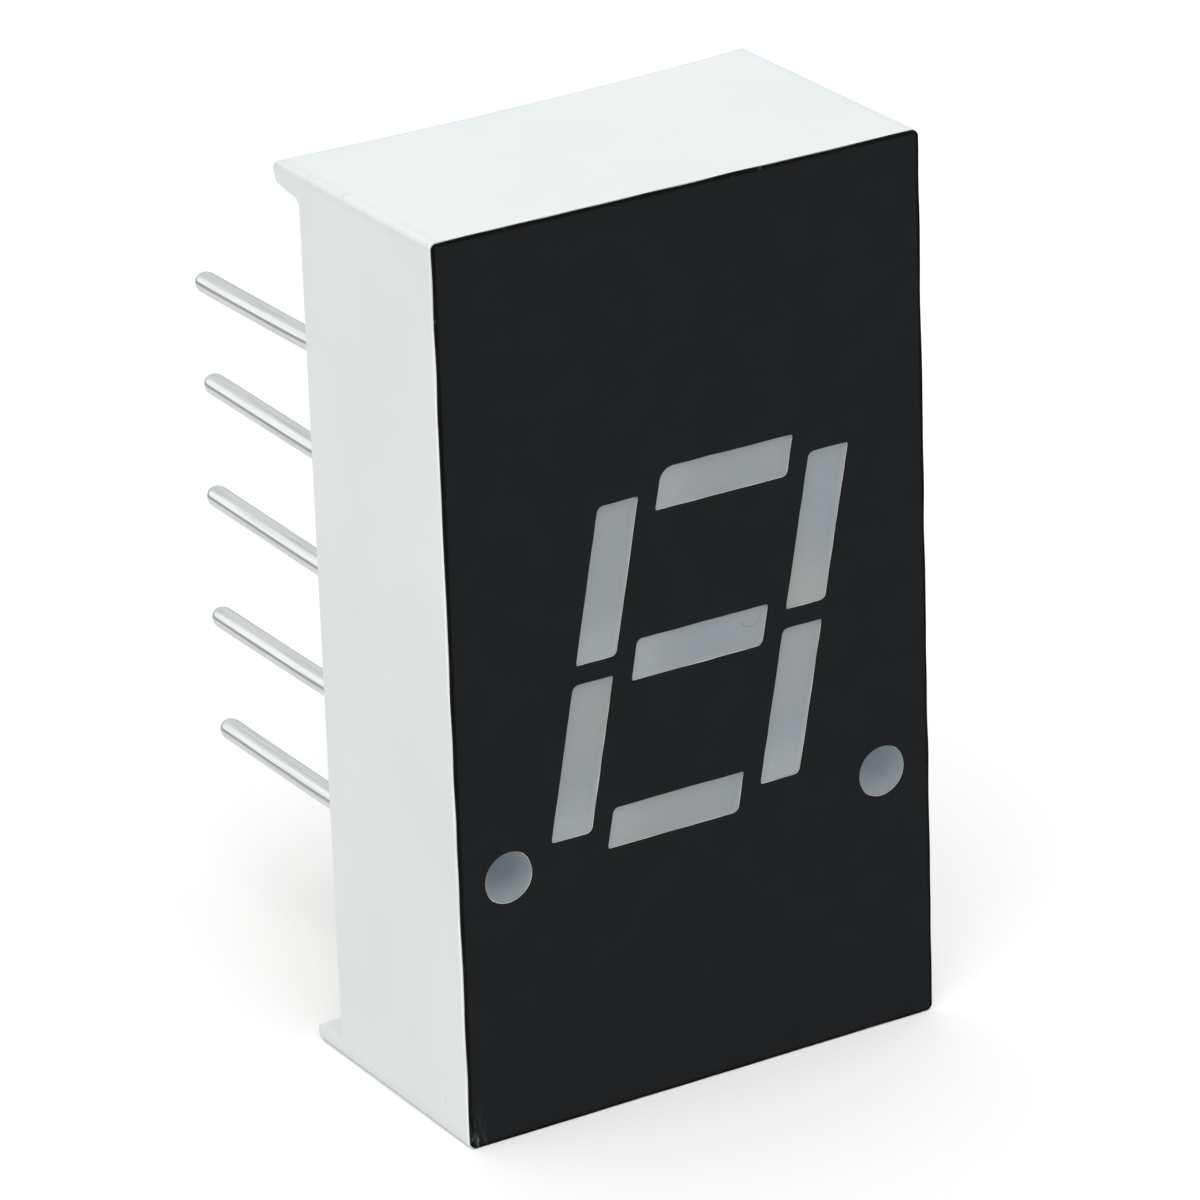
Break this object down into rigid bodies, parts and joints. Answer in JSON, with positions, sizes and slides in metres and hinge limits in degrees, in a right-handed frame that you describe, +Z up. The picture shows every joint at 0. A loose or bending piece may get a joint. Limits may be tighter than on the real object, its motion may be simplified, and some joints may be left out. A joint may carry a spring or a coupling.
{
  "type": "seven segment display",
  "caption": "Small numeric display: a white housing with a black face, a leaning digit of milky bars, a decimal point at each side, and two rows of round pins behind.",
  "frame": {"origin": "centre of the pin field, on the plane of the backs of the two end rails, where the part seats on a circuit board", "axes": "+Z up the digit, +Y from the face towards the pin tips, +X to the viewer's right when the digit is read"},
  "size_m": [0.011, 0.0128, 0.019],
  "materials": {
    "white_plastic": "satin",
    "black_ink": "matt",
    "milky_epoxy": "smooth",
    "glass_epoxy_board": "satin",
    "copper": "satin",
    "chip": "polished",
    "gold": "bright",
    "tinned_brass": "satin",
    "solder": "bright",
    "clear_potting": "smooth"
  },
  "bodies": {
    "root": {"reflector_housing": "white_plastic", "face_mask": "black_ink", "circuit_board": "glass_epoxy_board", "board_copper": "copper", "back_potting": "clear_potting", "segment_a": "milky_epoxy", "segment_b": "milky_epoxy", "segment_c": "milky_epoxy", "segment_d": "milky_epoxy", "segment_e": "milky_epoxy", "segment_f": "milky_epoxy", "segment_g": "milky_epoxy", "point_left": "milky_epoxy", "point_right": "milky_epoxy", "chip_a": "chip", "wire_a": "gold", "chip_b": "chip", "wire_b": "gold", "chip_c": "chip", "wire_c": "gold", "chip_d": "chip", "wire_d": "gold", "chip_e": "chip", "wire_e": "gold", "chip_f": "chip", "wire_f": "gold", "chip_g": "chip", "wire_g": "gold", "chip_left": "chip", "wire_left": "gold", "chip_right": "chip", "wire_right": "gold", "pin_1": "tinned_brass", "solder_1": "solder", "pin_2": "tinned_brass", "solder_2": "solder", "pin_3": "tinned_brass", "solder_3": "solder", "pin_4": "tinned_brass", "solder_4": "solder", "pin_5": "tinned_brass", "solder_5": "solder", "pin_6": "tinned_brass", "solder_6": "solder", "pin_7": "tinned_brass", "solder_7": "solder", "pin_8": "tinned_brass", "solder_8": "solder", "pin_9": "tinned_brass", "solder_9": "solder", "pin_10": "tinned_brass", "solder_10": "solder"}
  },
  "joints": []
}
